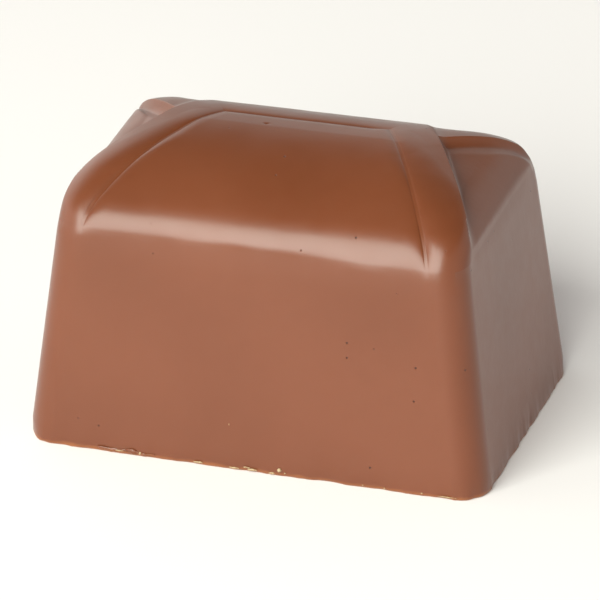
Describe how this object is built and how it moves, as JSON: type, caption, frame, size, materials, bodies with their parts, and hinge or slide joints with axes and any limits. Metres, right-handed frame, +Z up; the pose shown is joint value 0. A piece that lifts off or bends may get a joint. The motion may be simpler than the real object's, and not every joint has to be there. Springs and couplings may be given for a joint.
{
  "type": "milk chocolate praline",
  "caption": "Moulded milk chocolate praline: a drafted oblong block with rounded shoulders and a crowned top with raised bands between grooved panels and sunk end triangles.",
  "frame": {"origin": "middle of the flat base, on the surface the praline stands on", "axes": "+X along the long side to the right end, +Y to the back, +Z up; the grooved front panel faces -Y and up"},
  "size_m": [0.03, 0.0204, 0.0189],
  "materials": {
    "milk_chocolate": "satin moulded milk chocolate"
  },
  "bodies": {
    "root": {"praline": "milk_chocolate"}
  },
  "joints": []
}
